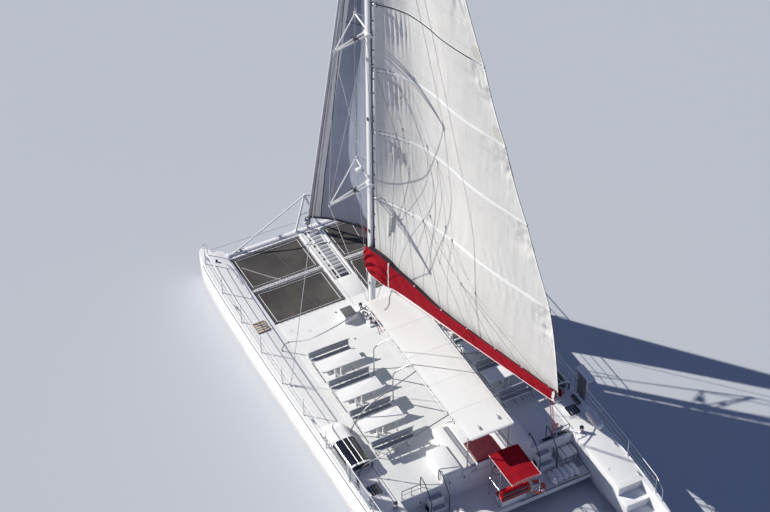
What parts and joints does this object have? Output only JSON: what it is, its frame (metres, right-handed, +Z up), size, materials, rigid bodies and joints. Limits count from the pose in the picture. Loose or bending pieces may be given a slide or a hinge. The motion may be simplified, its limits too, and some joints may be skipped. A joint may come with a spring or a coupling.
{
  "type": "sailing catamaran",
  "caption": "Day-charter sailing catamaran with a flat bridge deck, trampoline nets, a fractional rig, a swinging boom with a sail bag, a hardtop over the seats and a helm platform aft.",
  "frame": {"origin": "amidships on the centreline at the waterline", "axes": "+X to the bows, +Y to port, +Z up"},
  "size_m": [20, 9.4, 27.05],
  "materials": {
    "gelcoat": "gloss",
    "spar": "satin",
    "steel": "polished",
    "bronze": "satin",
    "netting": "matte",
    "sailcloth": "matte",
    "jibcloth": "matte",
    "canvas": "matte",
    "smoked": "gloss",
    "teak": "satin",
    "vinyl": "matte",
    "black": "matte"
  },
  "bodies": {
    "boat": {"hull_port": "gelcoat", "drive_leg_port": "gelcoat", "net_fore_port": "netting", "net_aft_port": "netting", "shroud_port": "steel", "awning_bows_port": "steel", "benches_port": "vinyl", "tables_port": "gelcoat", "coachroof_port": "gelcoat", "guard_rail_port": "steel", "fenders_port": "vinyl", "hull_starboard": "gelcoat", "drive_leg_starboard": "gelcoat", "net_fore_starboard": "netting", "net_aft_starboard": "netting", "shroud_starboard": "steel", "awning_bows_starboard": "steel", "benches_starboard": "vinyl", "tables_starboard": "gelcoat", "coachroof_starboard": "gelcoat", "guard_rail_starboard": "steel", "fenders_starboard": "vinyl", "bridge_deck": "gelcoat", "cross_beam": "spar", "striker": "spar", "catwalk": "gelcoat", "mast": "spar", "mast_pad": "black", "spreaders_lower": "spar", "spreaders_upper": "spar", "forestay": "steel", "jib": "jibcloth", "hardtop": "gelcoat", "hardtop_frame": "steel", "island": "gelcoat", "island_pad": "canvas", "liferaft": "gelcoat", "helm_bench": "canvas", "helm_pedestal": "gelcoat", "canopy": "canvas", "canopy_frame": "spar", "gooseneck": "steel"},
    "boom": {"boom": "spar", "sail_bag": "canvas", "mainsail": "sailcloth"},
    "wheel": {"helm_wheel": "steel"},
    "rudder_port": {"rudder_port": "gelcoat"},
    "rudder_starboard": {"rudder_starboard": "gelcoat"},
    "propeller_port": {"propeller_port": "bronze"},
    "propeller_starboard": {"propeller_starboard": "bronze"},
    "hood_port": {"hood_port": "smoked"},
    "hood_starboard": {"hood_starboard": "smoked"},
    "hatch_fore_port": {"hatch_fore_port": "teak"},
    "hatch_fore_starboard": {"hatch_fore_starboard": "teak"},
    "hatch_aft_port": {"hatch_aft_port": "smoked"},
    "hatch_aft_starboard": {"hatch_aft_starboard": "smoked"}
  },
  "joints": [
    {"name": "boom_swing", "type": "hinge", "parent": "boat", "child": "boom", "pos_m": [3.35, 0, 3.75], "axis": [0, 0, 1], "range_deg": [-62, 33]},
    {"name": "wheel_turn", "type": "hinge", "parent": "boat", "child": "wheel", "pos_m": [-5.5, -0.38, 1.56], "axis": [1, 0, 0], "range_deg": [-360, 360]},
    {"name": "rudder_port_turn", "type": "hinge", "parent": "boat", "child": "rudder_port", "pos_m": [-8.5, 4.1, -0.4], "axis": [0, 0, 1], "range_deg": [-36, 36]},
    {"name": "propeller_port_spin", "type": "hinge", "parent": "boat", "child": "propeller_port", "pos_m": [-7.2, 4.1, -1.06], "axis": [1, 0, 0], "continuous": true},
    {"name": "hood_port_slide", "type": "slide", "parent": "boat", "child": "hood_port", "axis": [1, 0, 0], "range_m": [0, 1]},
    {"name": "hatch_fore_port_lid", "type": "hinge", "parent": "boat", "child": "hatch_fore_port", "pos_m": [5.18, 4.05, 1.5003], "axis": [0, 1, 0], "range_deg": [0, 85]},
    {"name": "hatch_aft_port_lid", "type": "hinge", "parent": "boat", "child": "hatch_aft_port", "pos_m": [-4.02, 4.05, 1.5003], "axis": [0, 1, 0], "range_deg": [0, 85]},
    {"name": "rudder_starboard_turn", "type": "hinge", "parent": "boat", "child": "rudder_starboard", "pos_m": [-8.5, -4.1, -0.4], "axis": [0, 0, 1], "range_deg": [-36, 36]},
    {"name": "propeller_starboard_spin", "type": "hinge", "parent": "boat", "child": "propeller_starboard", "pos_m": [-7.2, -4.1, -1.06], "axis": [1, 0, 0], "continuous": true},
    {"name": "hood_starboard_slide", "type": "slide", "parent": "boat", "child": "hood_starboard", "axis": [1, 0, 0], "range_m": [0, 1]},
    {"name": "hatch_fore_starboard_lid", "type": "hinge", "parent": "boat", "child": "hatch_fore_starboard", "pos_m": [5.18, -4.05, 1.5003], "axis": [0, 1, 0], "range_deg": [0, 85]},
    {"name": "hatch_aft_starboard_lid", "type": "hinge", "parent": "boat", "child": "hatch_aft_starboard", "pos_m": [-4.02, -4.05, 1.5003], "axis": [0, 1, 0], "range_deg": [0, 85]}
  ],
  "couplings": [
    {"joint": "rudder_port_turn", "follows": "wheel_turn", "ratio": 0.0972},
    {"joint": "rudder_starboard_turn", "follows": "wheel_turn", "ratio": 0.0972}
  ]
}
